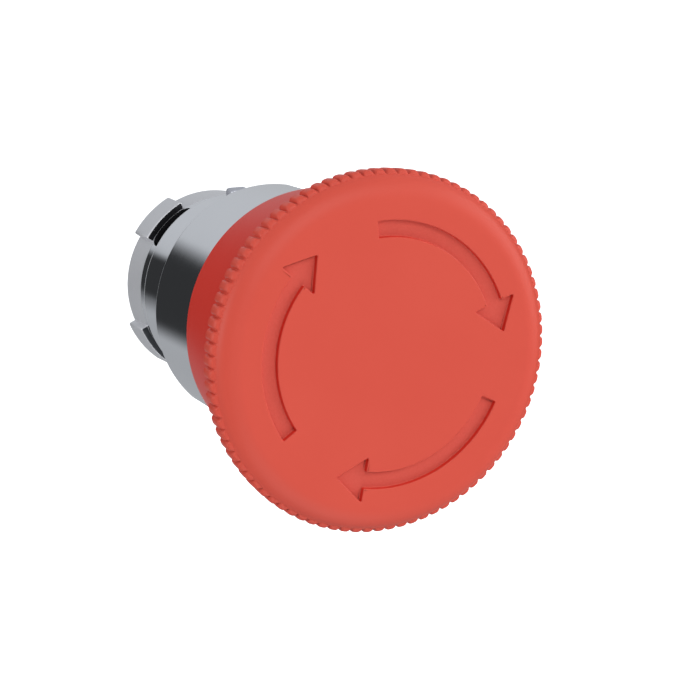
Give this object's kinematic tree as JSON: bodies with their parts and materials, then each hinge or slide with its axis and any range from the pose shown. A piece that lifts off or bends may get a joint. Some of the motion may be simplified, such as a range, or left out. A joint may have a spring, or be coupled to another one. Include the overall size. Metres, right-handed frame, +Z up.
{
  "type": "emergency stop button head",
  "caption": "Red mushroom emergency stop head for a round panel hole: push to stop, turn clockwise to release, with a plated body and a slotted tail for contact blocks.",
  "frame": {"origin": "where the button's axis crosses the front face of the panel, which is the plane the bezel seats on", "axes": "the button's face looks along -Y and its tail runs along +Y through the panel; +Z is up, through the locating nib; +X is to the right of someone facing the button"},
  "size_m": [0.04, 0.0473, 0.04],
  "materials": {
    "red_plastic": "satin, moulded",
    "chrome_plate": "plated die casting, polished bezel and satin tail",
    "spring_steel": "bright",
    "black_nylon": "moulded",
    "grey_acetal": "moulded",
    "black_rubber": "matt"
  },
  "bodies": {
    "housing": {"bezel_body": "chrome_plate", "guide_sleeve": "black_nylon", "panel_gasket": "black_rubber", "shaft_seal": "black_rubber", "seal_retainer": "spring_steel", "sleeve_circlip": "spring_steel", "return_spring": "spring_steel"},
    "slider": {"plunger": "black_nylon", "plunger_tail": "grey_acetal", "pusher_plate": "grey_acetal", "pusher_clip": "spring_steel", "pawl_spring": "spring_steel"},
    "pawl_1": {"latch_pawl_1": "spring_steel"},
    "pawl_2": {"latch_pawl_2": "spring_steel"},
    "pawl_3": {"latch_pawl_3": "spring_steel"},
    "head": {"mushroom_cap": "red_plastic", "cap_pin": "spring_steel", "stem": "spring_steel", "release_cam": "grey_acetal", "stem_o_ring": "black_rubber", "cam_washer": "spring_steel", "stem_clip": "spring_steel", "torsion_spring": "spring_steel"}
  },
  "joints": [
    {"name": "press", "type": "slide", "parent": "housing", "child": "slider", "axis": [0, 1, 0], "range_m": [0, 0.005], "stiffness_N_per_m": 3000, "springref_m": -0.004, "deforming": ["return_spring"]},
    {"name": "turn", "type": "hinge", "parent": "slider", "child": "head", "pos_m": [0, 0, 0], "axis": [0, 1, 0], "range_deg": [0, 45], "stiffness_Nm_per_rad": 0.15, "springref_deg": -17.19, "deforming": ["torsion_spring", "pawl_spring"]},
    {"name": "pawl_1_slide", "type": "slide", "parent": "slider", "child": "pawl_1", "axis": [0, 0, -1], "range_m": [0, 0.001]},
    {"name": "pawl_2_slide", "type": "slide", "parent": "slider", "child": "pawl_2", "axis": [0.866, 0, 0.5], "range_m": [0, 0.001]},
    {"name": "pawl_3_slide", "type": "slide", "parent": "slider", "child": "pawl_3", "axis": [-0.866, 0, 0.5], "range_m": [0, 0.001]}
  ],
  "couplings": [
    {"joint": "pawl_1_slide", "follows": "turn", "m_per_rad": 0.0012732},
    {"joint": "pawl_2_slide", "follows": "turn", "m_per_rad": 0.0012732},
    {"joint": "pawl_3_slide", "follows": "turn", "m_per_rad": 0.0012732}
  ]
}
